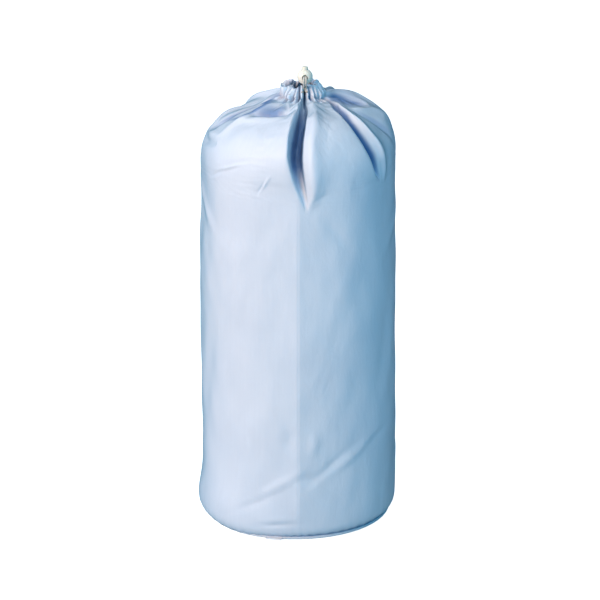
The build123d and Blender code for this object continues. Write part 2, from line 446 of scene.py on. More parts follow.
def ribbon_material(name):
    """White woven satin ribbon, left blank, with painted shade along both sides."""
    material, net, shader = node_material(name)
    uv = net.coord("UV")
    across, along = net.split(uv)[:2]
    warp = net.wave(across, pitch=0.0003)
    weft = net.wave(along, pitch=0.0005)
    weave = net.math("MULTIPLY", warp, weft)
    # painted shade along both sides of the ribbon
    side_shade = net.math("GREATER_THAN", net.math("ABSOLUTE", across), 0.0105)
    tone = net.noise(net.mapping(uv, scale=(1200, 120, 1)), scale=1.0)
    base = net.ramp(tone, (0.3, (0.80, 0.81, 0.84)), (0.7, (0.90, 0.905, 0.92)))
    base = net.mix(side_shade, base, (0.70, 0.73, 0.80, 1))
    net.feed(shader, {
        "Base Color": base,
        "Normal": net.bump(weave, strength=0.35, distance=0.00008),
        "Roughness": 0.42,
        "Sheen Weight": 0.2,
    })
    return material


wall_satin = satin_cloth("satin_polyester_wall")
# the lighter copies of the wall's satin for the hem and piping are painted light, and the darker copy for
# the base is painted shade
hem_satin_lit = satin_cloth("satin_polyester_hem_lit", tint=(1.10, 1.09, 1.07), wrinkle=1.4)
piping_satin_lit = satin_cloth("satin_polyester_piping_lit", tint=(1.12, 1.08, 1.04), wrinkle=0.4)
base_satin_shaded = satin_cloth("satin_polyester_base_shaded", tint=(0.95, 0.97, 0.98), wrinkle=0.7)
white_cord = cord_material("braided_cord", colour=(0.60, 0.60, 0.56))
thread = cord_material("sewing_thread", colour=(0.50, 0.62, 0.80))
ivory = plastic_material("ivory_plastic", pale=(0.80, 0.79, 0.71), dark=(0.74, 0.73, 0.64))
ivory_button = plastic_material("ivory_plastic_button",
                                pale=(0.78, 0.77, 0.68), dark=(0.72, 0.71, 0.61))
steel = steel_material("spring_wire")
ribbon = ribbon_material("satin_ribbon")


# ------------------------------------------------------------------ the bag's meridian
# (radius, height) from the base seam up the wall and over the top to the hem
MERIDIAN = np.array([
    (142.8, 5.6), (146.0, 8.6), (151.2, 15.5), (153.2, 28), (153.5, 42), (153.2, 62),
    (152.4, 130), (151.4, 220), (149.8, 340), (148.4, 440), (147.4, 520), (147.0, 560),
    (143.8, 588), (131.5, 616), (108.5, 639), (78.0, 653.5), (52.0, 660.3), (38.0, 662.2),
    (31.0, 663.6), (28.4, 666.4), (MOUTH_R, 670.0)])
chord = arc_length(MERIDIAN)
fine_chord = np.linspace(0, chord[-1], 4000)
mer_r, mer_z = (spline(chord, MERIDIAN[:, k], fine_chord) for k in (0, 1))
mer_length = arc_length(np.stack([mer_r, mer_z], 1))
wall_end = np.argmax(mer_z > 650)
top_start = np.argmax(mer_z > 575)


# A "place" is a length along the meridian from the base seam, in mm.
def meridian(place):
    """Radius and height at a place, and the outward normal's radial and upward parts."""
    r, z = np.interp(place, mer_length, mer_r), np.interp(place, mer_length, mer_z)
    dr, dz = (np.interp(place + 0.8, mer_length, values) - np.interp(place - 0.8, mer_length, values)
              for values in (mer_r, mer_z))
    size = np.hypot(dr, dz) + 1e-9
    return r, z, dz / size, -dr / size


def on_wall(height):
    return float(np.interp(height, mer_z[:wall_end], mer_length[:wall_end]))


def on_top(radius):
    return float(np.interp(-radius, -mer_r[top_start:], mer_length[top_start:]))


SHOULDER, HEM, END = on_wall(560), on_top(30), mer_length[-1]


def station_table(stations):
    """Stations sorted by place; a first column below 200 is a radius on the top, else a height."""
    table = np.array([((on_top if first < 200 else on_wall)(first), *rest)
                      for first, *rest in stations])
    return table[np.argsort(table[:, 0])]


# ------------------------------------------------------------------ folds
# Each fold: falloff power on its left and right, then its stations:
# (radius on the top or height on the wall, angle deg, rise mm, width left mm, width right mm)
FOLDS = [
    # central pocket under the slit
    (7.0, 3.4, [(34, 0, -5, 3, 2.0), (51, 2.0, -12, 4.6, 2.2), (71, 3.6, -20, 8, 2.8),
                (95, 1.6, -27, 11.5, 3.0), (125, 0.2, -31, 13.6, 3.2), (140, 0.4, -29, 13.2, 3.2),
                (584, 1.2, -22, 11.8, 3.2), (569, 2.1, -15, 10.0, 3.2), (552, 3.1, -8.5, 7.6, 3.2),
                (537, 4.2, -4, 4.6, 2.6), (524, 4.8, 0, 3, 2.5)]),
    # puffy roll on its right
    (2.2, 1.7, [(45, 11, 0, 6, 6), (76, 12.5, 4, 9, 10), (95, 10.4, 7, 10, 13),
                (125, 8.2, 8.5, 11, 16), (140, 8.2, 8.5, 11, 16), (569, 8.6, 8.5, 10, 14),
                (552, 8.6, 7, 8, 12), (540, 8.0, 4.5, 6, 10), (524, 7, 0, 5, 9)]),
    # softer pleat on its left
    (1.5, 3.2, [(45, -10, 1, 7, 4), (70, -7.8, 5, 14, 4.2), (95, -8.6, 7, 22, 4.2),
                (125, -8.4, 8, 26, 4), (140, -7.3, 7, 26, 4), (569, -4.0, 5, 22, 4),
                (545, -0.8, 2.5, 16, 4), (524, 2, 0, 10, 4)]),
    # front right: sharp fold, and the ridge on its right
    (1.3, 2.2, [(40, 62, -6, 2.5, 2.5), (56, 52, -9, 3.2, 3.0), (71, 46, -11, 3.8, 3.2),
                (104, 44.2, -13, 5, 4.0), (121, 45.6, -16, 6.5, 4.6), (134.7, 48.2, -17, 7.2, 4.8),
                (591, 51.2, -15, 7, 4.8), (569, 53.6, -10, 5.5, 4), (551, 56.4, 0, 4, 3)]),
    (1.9, 1.6, [(45, 64, 1, 3, 4), (70, 50.0, 3, 3.2, 7), (88.7, 48.6, 5, 3.6, 10),
                (121, 51.8, 7, 4.2, 12), (134.7, 55.0, 7.5, 4.6, 12), (588, 58.2, 7, 4.8, 11),
                (568, 60.4, 5, 4.8, 9), (548, 62.0, 0, 4, 7)]),
    # the panel left of that fold lies flat up to its edge
    (1.25, 3.0, [(50, 46, 0, 8, 3), (74, 37, 2, 16, 4), (104, 36.0, 5, 26, 5),
                 (121, 38.0, 6, 30, 5.5), (134.7, 41.2, 6, 30, 5.5), (591, 45.0, 5, 27, 5),
                 (569, 48.6, 3, 22, 4.4), (551, 52, 0, 18, 4)]),
    # right: deep hollow, ridge below it, raised shoulder behind it, crease in front of it
    (2.0, 2.8, [(36, 92, -8, 6, 8), (50, 95, -15, 9, 15), (63, 93, -19, 10, 18),
                (76, 91, -17, 11, 17), (88, 90, -9, 10, 14), (100, 88, 0, 8, 10)]),
    (1.3, 1.6, [(66, 60, 0, 6, 6), (80, 66, 2, 7, 6), (93, 76, 4, 9, 8), (105, 86, 4, 10, 10),
                (118, 92, 3, 12, 12), (134, 95, 1, 12, 14)]),
    (1.4, 1.2, [(44, 128, -1, 8, 9), (56, 124, 3, 9, 12), (72, 119, 6.5, 12, 16),
                (90, 113, 7, 14, 18), (108, 105, 4, 14, 20), (124, 99, 2, 16, 24),
                (138, 96, 0, 16, 24)]),
    (1.4, 1.4, [(84, 62, 0, 5, 5), (98, 68, -4, 6, 6), (114, 73, -6, 7, 7), (130, 77, -5, 8, 8),
                (585, 82, 0, 8, 8)]),
    # left: a ridge, a deep fold, and a second ridge nearer the front
    (1.6, 1.7, [(42, -128, 2, 6, 5), (65, -119, 4, 11, 6), (88, -108, 4, 14, 6),
                (110, -99, 5, 16, 7), (128, -92, 3, 16, 9), (576, -90, 0, 16, 9)]),
    (2.6, 1.9, [(36, -92, -8, 12, 4), (46, -89, -12, 16, 4.5), (60, -82, -14, 19, 5),
                (75, -76, -15, 19, 5.5), (94, -74, -14, 16, 5.5), (108, -75, -11, 14, 6),
                (122, -79, -6, 11, 7), (134, -83, 0, 8, 8)]),
    (1.7, 1.7, [(48, -42, 2, 4, 5), (67, -49, 4, 5, 6), (85, -54, 5, 6, 7), (105, -57, 4, 7, 9),
                (120, -60, 2, 8, 9), (134, -64, 0, 8, 9)]),
    # round the back
    (1.7, 2.0, [(40, 138, -5, 3, 3), (75, 141, -13, 6, 5), (110, 143, -17, 8, 6),
                (135, 144, -13, 7, 6), (575, 146, -7, 6, 5), (545, 148, 0, 4, 4)]),
    (1.8, 1.6, [(50, 150, 0, 4, 5), (90, 153, 7, 5, 9), (125, 154, 9, 5, 11), (580, 155, 6, 5, 9),
                (550, 156, 0, 5, 7)]),
    (2.2, 1.8, [(40, 176, -6, 3, 3), (70, 174, -14, 6, 6), (105, 171, -20, 9, 8),
                (135, 170, -18, 8, 7), (570, 171, -11, 6, 6), (535, 173, 0, 4, 4)]),
    (1.7, 1.7, [(60, 188, 3, 6, 6), (105, 184, 6, 9, 9), (575, 183, 4, 9, 9),
                (540, 183, 0, 8, 8)]),
    (1.6, 2.1, [(40, -158, -5, 3, 3), (80, -154, -12, 6, 6), (115, -151, -15, 7, 8),
                (136, -150, -11, 6, 7), (565, -148, 0, 5, 5)]),
    (1.8, 1.8, [(55, -146, 3, 5, 5), (100, -142, 7, 8, 6), (130, -141, 7, 10, 6),
                (570, -140, 3, 8, 6), (545, -140, 0, 8, 6)]),
    (1.8, 1.8, [(45, -132, -4, 4, 4), (75, -121, -9, 9, 9), (95, -117, -9, 10, 12),
                (115, -116, -6, 10, 12), (135, -116, 0, 9, 12)]),
]

# Painted shade, with no rise, where the cloth folds under itself: as FOLDS, with a share of
# painted shade from 0 to 1 in place of the rise
SHADES = [
    # left, behind the ridge nearer the front
    (2.0, 2.6, [(38, -118, 0.5, 10, 10), (50, -90, 1.0, 26, 28), (58, -72, 1.0, 26, 20),
                (66, -57, 1.0, 16, 12), (73, -51, 1.0, 13, 5), (82, -52.5, 1.0, 11, 4.5),
                (90, -55.5, 1.0, 10, 4.5), (100, -56, 0.9, 9, 4.5), (106, -59, 0.8, 8, 5.5),
                (112, -67, 0.6, 7, 7), (120, -74, 0, 6, 6)]),
    # and in front of it, ending at the front pleat
    (3.0, 6.0, [(60, -33, 0, 16, 14), (68, -34, 0.7, 20, 14.5), (80, -37, 0.95, 22, 18),
                (88, -42, 0.7, 20, 22), (97, -48, 0, 18, 22)]),
    # right, the hollow in front of the raised shoulder
    (4.0, 2.4, [(34, 86, 0.3, 13, 10), (44, 85, 0.9, 18, 17), (56, 85, 1.0, 22, 24),
                (68, 86, 1.0, 24, 27), (78, 88, 0.8, 24, 26), (88, 92, 0.4, 20, 23),
                (98, 95, 0, 15, 20)]),
]
FOLDS, SHADES = ([(left, right, station_table(stations)) for left, right, stations in table]
                 for table in (FOLDS, SHADES))

# Broad mounds and hollows: (angle deg, angle width deg, place, width along mm, rise mm)
MOUNDS = [
    (114, 24, on_top(104), 30, 5.0), (130, 24, on_top(57), 18, 5.0), (97, 20, on_top(124), 22, 4.5),
    (-114, 28, on_top(82), 34, -8.5), (-88, 14, on_top(114), 14, 1.0), (-76, 46, 26, 34, 4.6),
    (-60, 40, 70, 60, 1.6), (80, 30, on_wall(600), 20, 3.0), (-100, 26, on_wall(585), 34, 2.6),
    (22, 18, on_top(112), 34, 3.0), (-30, 22, on_top(128), 30, 2.0),
    (165, 40, on_top(112), 40, 5.0), (-160, 36, on_top(112), 36, 4.0),
]

# Short creases: (angle deg, radius on the top or height on the wall, half length mm,
# half width mm, tilt deg, rise mm before CREASE_GAIN)
CREASE_GAIN = 1.3
TOP_CREASES = [(-35, 85, 25, 6.5, 15, -8.5), (-40, 98, 26, 9, 14, 3.0)]
WALL_CREASES = [
    (-78, 600, 20, 6, 8, -2.0), (-80, 612, 22, 8, 6, 2.0), (-47, 575, 13, 2.0, 24, 1.3),
    (-51, 569, 12, 2.0, 30, -1.1), (-41, 581, 10, 1.8, 20, 1.0), (-19, 562, 12, 2.4, 58, 1.6),
    (-21, 557, 11, 2.0, 60, -1.2), (-11, 92, 42, 6, 35, 1.8), (-24, 62, 34, 5, 30, -1.4),
    (16, 116, 40, 6, 38, -1.6), (34, 134, 46, 7, 30, 1.9), (50, 150, 32, 6, 18, -1.4),
    (4, 104, 18, 8, 0, -1.6), (9, 158, 14, 9, 80, 2.0), (-5, 166, 14, 9, 80, -1.6),
    (-12, 28, 22, 3.4, 6, -1.7), (-10, 36, 24, 4.5, 5, 1.0), (30, 420, 60, 16, 70, 1.4),
    (-38, 380, 70, 18, 80, 1.3), (62, 300, 70, 16, 76, -1.6), (-66, 250, 80, 18, 82, -1.4),
    (75, 470, 44, 10, 40, 1.8), (-70, 500, 50, 10, -40, 1.6), (24, 480, 42, 9, -52, -1.2),
    (110, 120, 50, 8, 32, 2.0), (140, 80, 46, 7, -30, -1.8), (175, 130, 52, 8, 25, 1.8),
    (-150, 100, 50, 8, -32, 2.0), (-110, 90, 44, 7, 34, -1.7), (-95, 420, 70, 12, 70, 1.8),
    (150, 440, 60, 12, 66, -1.8), (-140, 480, 50, 10, -58, 1.8), (120, 500, 40, 9, 50, 1.8),
    (-170, 330, 80, 14, 80, 1.5),
]

PLEATS = 24
PLEAT_RISE = 6.6
PLEAT_SHIFT = np.random.default_rng(11).uniform(-0.30, 0.30, PLEATS)
PLEAT_SHIFT[0] = 0       # keeps a valley at the slit
PLEAT_SIZE = np.random.default_rng(12).uniform(0.45, 1.12, PLEATS)


def pleat(angle):
    """Gather wave round the mouth in about -1..1, uneven; a valley sits at the slit."""
    turn = (np.asarray(angle) - SLIT) / (2 * np.pi) * PLEATS
    index = np.floor(turn).astype(int)
    start, end = PLEAT_SHIFT[index % PLEATS], PLEAT_SHIFT[(index + 1) % PLEATS]
    share = np.clip((turn - index - start) / (1 + end - start), 0, 1)
    wave = -np.cos(2 * np.pi * share)
    return np.sign(wave) * np.abs(wave) ** 0.8 * PLEAT_SIZE[index % PLEATS]


def hem_drop(angle):
    """The ruffle slumps a little at the front left and front right, mm."""
    return -4.6 * swell(angle, -46, 0.7) - 3.6 * swell(angle, 58, 0.6)


def foot(angle):
    """The base bellies out a little at the front left, mm."""
    return 6.0 * swell(angle, -40, math.radians(30))


def read_stations(place, table, column):
    """A station table's column read at place, with its corners softened."""
    out = np.zeros(place.shape)
    for shift, weight in ((-5, 0.15), (-2.5, 0.2), (0, 0.3), (2.5, 0.2), (5, 0.15)):
        out += weight * np.interp(place + shift, table[:, 0], table[:, column])
    return out


def fold_band(angle, place, radius, fold):
    """A fold's rise (or shade) along the meridian, and its 0 to 1 profile across."""
    power_left, power_right, table = fold
    centre, rise, left, right = (read_stations(place, table, k) for k in (1, 2, 3, 4))
    x = wrap(angle - np.radians(centre)) * radius
    profile = np.where(x < 0, np.exp(-np.abs(x / left) ** power_left),
                       np.exp(-np.abs(x / right) ** power_right))
    return rise, profile


def fold_relief(angle, place, radius):
    """Rise from the long folds, and painted shade at the bottom of them and along the shade strokes."""
    relief = np.zeros(np.broadcast(angle, place).shape)
    painted_shade = np.zeros_like(relief)
    for fold in FOLDS:
        rise, profile = fold_band(angle, place, radius, fold)
        relief += rise * profile
        # painted shade at the bottom of sunken folds; the steep-sided pocket only darkens below 8 mm
        shade = np.clip(-rise / 14, 0, 1) if fold[0] < 6 else np.clip((-rise - 8) / 16, 0, 1)
        painted_shade = np.maximum(painted_shade, shade * smooth((profile - 0.12) / 0.4))
    # painted shade strokes
    for shade_line in SHADES:
        shade, profile = fold_band(angle, place, radius, shade_line)
        painted_shade = np.maximum(painted_shade, shade * profile)
    return relief, painted_shade


def crease_relief(angle, place, radius):
    """Rise from the short creases, and painted shade in the deeper hollow ones."""
    relief = np.zeros(np.broadcast(angle, place).shape)
    painted_shade = np.zeros_like(relief)
    for locate, table in ((on_top, TOP_CREASES), (on_wall, WALL_CREASES)):
        for centre, station, half_length, half_width, tilt, rise in table:
            c, s = math.cos(math.radians(tilt)), math.sin(math.radians(tilt))
            dx, dy = wrap(angle - math.radians(centre)) * radius, place - locate(station)
            along, across = dx * c + dy * s, -dx * s + dy * c
            bump = np.exp(-(along / half_length) ** 2 - (across / half_width) ** 2)
            relief += rise * bump * CREASE_GAIN
            # painted shade in the deeper hollow creases
            if rise < -3:
                shade = np.clip(-rise / 14, 0, 1) * smooth((bump - 0.15) / 0.5)
                painted_shade = np.maximum(painted_shade, shade)
    return relief, painted_shade


def bag_relief(angle, place, radius):
    """How far the cloth stands off the meridian, mm, and how much painted shade it takes, 0 to 1."""
    relief, painted_shade = fold_relief(angle, place, radius)
    for centre, width, middle, length, rise in MOUNDS:
        along = np.exp(-((place - middle) / length) ** 2)
        relief += rise * swell(angle, centre, math.radians(width)) * along
    # the seam stiffens the front: its two sides meet at a slight angle
    seam = smooth((place - 10) / 60) * (1 - smooth((place - on_wall(500)) / 60))
    x = wrap(angle) * radius
    relief += seam * (5.0 * np.exp(-np.abs(x) / 21.0) - 0.6 * np.exp(-(x / 1.4) ** 2))
    creases, crease_painted_shade = crease_relief(angle, place, radius)
    relief += creases
    painted_shade = np.maximum(painted_shade, crease_painted_shade)
    # three sizes of unevenness, fading out at the base seam
    for rise, seed, terms, frequency, length in (
            (1.1, 21, 9, 5, 420.0), (0.75, 22, 14, 11, 170.0), (0.34, 23, 18, 26, 60.0)):
        uneven = noise_on_bag(angle, place, seed, terms, frequency, length)
        relief += smooth((place - 14) / 40) * rise * uneven
    relief += foot(angle) * np.exp(-(place / 60.0) ** 2)
    # painted shade in the groove along the base seam
    painted_shade = np.maximum(painted_shade, 0.9 * np.exp(-(place / 4.5) ** 2))
    # puckers along the base seam
    pucker = np.cos(58 * angle + 2.2 * np.sin(5 * angle) + 1.3 * np.sin(11 * angle))
    relief += 0.55 * np.exp(-place / 11.0) * pucker
    # gathers: fine at the hem, fewer and broader away from it
    near = ease(place, on_top(50), HEM)
    wave = pleat(angle)
    relief += PLEAT_RISE * near * wave
    # painted shade in the valleys of the gathers
    painted_shade = np.maximum(painted_shade, near * smooth((-wave - 0.05) / 0.8) * 0.8)
    away = smooth((place - on_top(100)) / 34.0) * (1 - smooth((place - on_top(44)) / 14.0))
    broad = np.cos(13 * angle + 1.4 * np.sin(2 * angle + 0.5) + 0.8)
    relief += 2.6 * away * broad * (0.6 + 0.4 * np.cos(3 * angle + 1))
    return relief, painted_shade


# ------------------------------------------------------------------ the bag's cloth
SHELL_COLUMNS = 600
SHELL_UV_RADIUS = 150.0
SHELL_FLOOR = 0.8        # no cloth of the wall lies below this height
# where columns crowd together: (angle deg, width deg, extra density)
DENSE_ANGLES = ((2, 14, 1.6), (47, 14, 1.3), (-62, 14, 0.9), (-30, 12, 0.7), (144, 12, 0.5),
                (172, 12, 0.6), (-153, 10, 0.5))


def column_angles(count):
    """Column angles from the front round, closer together where folds are sharp."""
    fine = np.linspace(-np.pi, np.pi, 4001)
    density = np.ones_like(fine)
    for centre, width, extra in DENSE_ANGLES:
        density += extra * swell(fine, centre, math.radians(width))
    total = np.r_[0, np.cumsum((density[1:] + density[:-1]) / 2)]
    total /= total[-1]
    angles = np.interp(np.linspace(0, 1, count, endpoint=False), total, fine)
    front = np.argmin(np.abs(angles))
    return np.roll(angles - angles[front], -front) % (2 * np.pi)


def bag_points(angle, place):
    """Cloth positions in mm, and painted fold shade, for angle and place (broadcast)."""
    r, z, normal_r, normal_z = meridian(place)
    relief, painted_shade = bag_relief(angle, place, np.maximum(r, 26))
    centre_x = MOUTH_X * ease(place, SHOULDER, HEM)
    drop = hem_drop(angle) * ease(place, on_top(70), HEM)
    # near the mouth the gathers stand outwards rather than up
    outward = ease(place, on_top(40), END)
    r = r + relief * (normal_r * (1 - outward) + outward)
    z = z + relief * normal_z * (1 - outward) + drop
    points = np.stack([centre_x + r * np.sin(angle), -r * np.cos(angle), z], -1)
    points[..., 2] = np.maximum(points[..., 2], SHELL_FLOOR)
    return points, painted_shade


def settle(points, places, faces, uvs):
    """Cloth simulation: held at the hem and on the wall, pushed out from inside."""
    ob = new_mesh("settling_cloth", points.reshape(-1, 3) * MM, faces, uvs)
    free = ease(places, on_wall(430), on_wall(560)) * (1 - ease(places, on_top(60), on_top(36)))
    hold = np.repeat(np.round(1.0 - 0.97 * free, 2), points.shape[1])
    pins = ob.vertex_groups.new(name="pins")
    for weight in np.unique(hold):
        pins.add(np.flatnonzero(hold == weight).tolist(), float(weight), "REPLACE")
    modifier = ob.modifiers.new("cloth", "CLOTH")
    cloth = modifier.settings
    cloth.quality = 4
    cloth.mass = 0.12
    cloth.tension_stiffness = cloth.compression_stiffness = 18
    cloth.shear_stiffness = 8
    cloth.bending_stiffness = 0.35
    cloth.tension_damping = cloth.compression_damping = cloth.shear_damping = 12
    cloth.bending_damping = 0.8
    cloth.air_damping = 4
    cloth.vertex_group_mass = "pins"
    cloth.pin_stiffness = 4.0
    cloth.use_pressure = True
    cloth.uniform_pressure_force = 0.9
    cloth.effector_weights.gravity = 0.06
    modifier.collision_settings.use_collision = False
    modifier.collision_settings.use_self_collision = False
    frames = 9
    modifier.point_cache.frame_start, modifier.point_cache.frame_end = 1, frames
    for k in range(1, frames + 1):
        scene.frame_set(k)
    moved = ob.evaluated_get(bpy.context.evaluated_depsgraph_get()).to_mesh()
    out = np.empty(len(moved.vertices) * 3, np.float32)
    moved.vertices.foreach_get("co", out)
    out = out.reshape(points.shape).astype(float) / MM
    scene.frame_set(1)
    bpy.data.objects.remove(ob, do_unlink=True)
    return out


def bag_shell():
    angles = column_angles(SHELL_COLUMNS)
    places = np.r_[np.linspace(0, 30, 12, endpoint=False),
                   np.linspace(30, on_wall(490), 92, endpoint=False),
                   np.linspace(on_wall(490), END, 140)]
    points, painted_shade = bag_points(angles[None, :], places[:, None])
    faces, corner = grid_faces(len(places), SHELL_COLUMNS, True)
    around = np.r_[angles, 2 * np.pi] * SHELL_UV_RADIUS * MM
    uvs = np.stack([around[corner[..., 1]], places[corner[..., 0]] * MM], -1).reshape(-1, 2)
    step = settle(points, places, faces, uvs) - points
    size = np.linalg.norm(step, axis=-1, keepdims=True)
    # moves are held within 4 mm, and the wall takes only a share of them
    limit = 4.0
    share = (0.28 + 0.72 * ease(places, on_wall(556), on_top(128)))[:, None, None]
    points = points + step * share * (limit * np.tanh(size / limit) / np.maximum(size, 1e-6))
    points[..., 2] = np.maximum(points[..., 2], SHELL_FLOOR)
    ob = new_mesh("bag_shell", points.reshape(-1, 3) * MM, faces, uvs, wall_satin)
    # painted shade in the folds, kept per vertex
    paint_shade(ob, painted_shade)
    return ob


shell = bag_shell()


# ------------------------------------------------------------------ hem channel ruffle
HEM_TOP_Z = 682.6
HEM_END_GAP = 0.075      # radians from the slit to each end of the hem
# section of the folded hem, up its outside and down its inside:
# (offset from its centre line mm, share of its height)
HEM_SECTION = [
    (0.30, 0.0), (0.55, 0.03), (0.34, 0.10), (0.62, 0.22), (0.86, 0.42), (0.86, 0.62),
    (0.62, 0.82), (0.42, 0.94), (0.16, 1.0), (-0.16, 1.0), (-0.42, 0.94), (-0.62, 0.82),
    (-0.86, 0.62), (-0.86, 0.42), (-0.62, 0.22), (-0.34, 0.10), (-0.55, 0.03), (-0.30, 0.0)]


def crumple(angle, seed, low, high, terms):
    """Uneven seeded wave round the mouth in about -1..1, of low to high waves per turn."""
    random = np.random.default_rng(seed)
    out = np.zeros_like(angle)
    for _ in range(terms):
        wave = np.cos(int(random.integers(low, high + 1)) * angle + random.uniform(0, 6.283))
        out += wave * random.uniform(0.5, 1.0)
    return out / math.sqrt(terms) / 0.8


def hem_plan(angle, height):
    """Centre line (x, y) of the hem; height is 0 at the stitch line and 1 at the top."""
    up = smooth((height - 0.15) / 0.85)
    gather = PLEAT_RISE * pleat(angle) * (1.0 - 0.22 * up + 0.25 * up * crumple(angle, 31, 3, 9, 4))
    lean = (2.2 * up * crumple(angle, 32, 5, 22, 6)
            + 2.3 * np.sin(np.pi * height) * crumple(angle, 33, 22, 48, 8))
    slump = 6.0 * swell(angle, -44, 0.55) + 3.0 * swell(angle, 60, 0.4)
    belly = slump * np.sin(np.pi * np.minimum(height * 1.1, 1.0) * 0.75) * 0.8
    # the top closes inwards, except at the left
    inward = 8.0 * up**1.2 * (1 - 1.35 * swell(angle, -82, 0.55))
    r = np.clip(MOUTH_R + gather + lean + belly - inward, 13.5, 39.5)
    from_slit = np.minimum(angle - SLIT, SLIT + 2 * np.pi - angle)
    sway = up * (1.9 / MOUTH_R) * crumple(angle, 34, 7, 26, 6) * np.clip(from_slit / 0.3, 0, 1)
    return np.stack([MOUTH_X + r * np.sin(angle + sway), -r * np.cos(angle + sway)], -1)


def hem_ruffle():
    """The hem, and its section points: one row per section point, closed by the first row."""
    angle = np.linspace(SLIT + HEM_END_GAP, SLIT + 2 * np.pi - HEM_END_GAP, 900)
    top = HEM_TOP_Z + 1.9 * crumple(angle, 35, 3, 12, 5) + 1.0 * crumple(angle, 36, 16, 34, 5)
    bottom = HEM_JOIN_Z - 1.2
    rows = []
    for offset, height in HEM_SECTION:
        centre = hem_plan(angle, height)
        tangent = np.gradient(centre, axis=0)
        normal = np.stack([-tangent[:, 1], tangent[:, 0]], -1)
        normal /= np.linalg.norm(normal, axis=1)[:, None]
        if normal[0] @ (centre[0] - np.array([MOUTH_X, 0])) < 0:
            normal = -normal
        z = bottom + (top - bottom) * height + hem_drop(angle) * (1 - 0.3 * height)
        rows.append(np.concatenate([centre + normal * offset, z[:, None]], 1))
    grid = np.array(rows + rows[:1])
    count, columns = len(rows), len(angle)
    verts = grid[:-1].reshape(-1, 3) * MM
    faces, corner = grid_faces(count + 1, columns, False)
    faces = (faces % len(verts)).tolist()
    along = arc_length(grid[4][:, :2]) * MM
    around = arc_length(grid[:, 0]) * MM
    uvs = np.stack([along[corner[..., 1]], around[corner[..., 0]]], -1).reshape(-1, 2).tolist()
    # close the two ends at the slit
    for column, order in ((0, -1), (columns - 1, 1)):
        ring = [i * columns + column for i in range(count)]
        for k in range(count // 2 - 1):
            quad = [ring[k], ring[k + 1], ring[count - 2 - k], ring[count - 1 - k]]
            faces.append(quad[::order])
            uvs += [(0, 0)] * 4
    ob = new_mesh("hem_ruffle", verts, faces, uvs, hem_satin_lit)
    # painted shade: in the pleat valleys, weaker on the inside face, and on the inside face towards the
    # stitch line
    offset, height = np.array(HEM_SECTION).T[:, :, None]
    valley = smooth((-pleat(angle)[None, :] - 0.05) / 0.7) * (1 - 0.35 * height)
    inside = np.where(offset < 0, 0.75 * (1 - height), 0)
    paint_shade(ob, np.maximum(valley * np.where(offset > 0, 1.0, 0.55), inside))
    return ob, grid


# ------------------------------------------------------------------ stitches
# five rings of five points make a stitch; shares of its radius
STITCH_THICKNESS = np.array((0.25, 0.9, 1.0, 0.9, 0.25))
STITCH_LIFT = np.array((-0.5, 0.25, 0.5, 0.25, -0.5))


def stitch_run(name, line, outward, length, gap, radius):
    """Small raised stitches along line (mm); outward is the direction they stand in."""
    distance = arc_length(line)
    rings, sides = len(STITCH_LIFT), 5
    turn = full_turn(sides)
    reach = radius * STITCH_THICKNESS[:, None]
    ring_faces = grid_faces(rings, sides, True)[0]
    first = np.arange(sides)
    verts, faces = [], []
    start = gap
    while start + length < distance[-1]:
        wanted = np.linspace(start, start + length, rings)
        centre = read_along(wanted, distance, line)
        out = read_along(wanted, distance, outward)
        out /= np.linalg.norm(out, axis=1)[:, None] + 1e-9
        tangent = np.gradient(centre, axis=0)
        tangent /= np.linalg.norm(tangent, axis=1)[:, None] + 1e-9
        side = np.cross(tangent, out)
        up = STITCH_LIFT[:, None] * radius + reach * np.cos(turn)
        stitch = (centre[:, None] + out[:, None] * up[..., None]
                  + side[:, None] * (reach * np.sin(turn))[..., None])
        base = len(verts)
        verts.extend(stitch.reshape(-1, 3) * MM)
        faces += (ring_faces + base).tolist()
        faces.append((first[::-1] + base).tolist())
        faces.append((first + base + (rings - 1) * sides).tolist())
        start += length + gap
    uvs = [(0.0, 0.0)] * sum(len(face) for face in faces)
    return new_mesh(name, verts, faces, uvs, thread)


hem, hem_grid = hem_ruffle()
hem_outward = hem_grid[1] - hem_grid[-3]
hem_outward[:, 2] = 0
hem_stitches = stitch_run("hem_stitches", hem_grid[2], hem_outward,
                          length=2.3, gap=0.9, radius=0.28)


# ------------------------------------------------------------------ base seam piping
def piping_ring(name, radius, columns, sides, material, bump, frequency):
    """An uneven ring round the base seam, flattened where it meets the floor."""
    along, around = np.meshgrid(full_turn(columns), full_turn(sides), indexing="ij")
    uneven = (np.cos(frequency * along + 3.0 * around + 0.8 * np.sin(9 * along)) * 0.6
              + 0.4 * np.cos(0.37 * frequency // 1 * along + around))
    thick = radius + bump * uneven
    r = PIPING_R + foot(along) + thick * np.cos(around)
    z = np.maximum(PIPING_Z + thick * np.sin(around), 0.15)
    verts = np.stack([r * np.sin(along), -r * np.cos(along), z], -1).reshape(-1, 3)
    faces, corner = grid_faces(columns + 1, sides, True)
    order = [0, 3, 2, 1]
    faces, corner = faces[:, order] % len(verts), corner[:, order]
    uvs = np.stack([PIPING_R * 2 * np.pi * corner[..., 0] / columns * MM,
                    radius * 6.283 * corner[..., 1] / sides * MM], -1)
    ob = new_mesh(name, verts * MM, faces, uvs, material)
    # painted shade along the top of the ring, in the groove where it meets the wall
    paint_shade(ob, 0.9 * smooth((np.sin(around) - 0.55) / 0.4))
    return ob


piping = piping_ring("piping_strip", radius=2.95, columns=900, sides=20, material=piping_satin_lit,
                     bump=0.16, frequency=150)
filler = piping_ring("piping_filler", radius=2.0, columns=360, sides=10, material=white_cord,
                     bump=0.06, frequency=300)


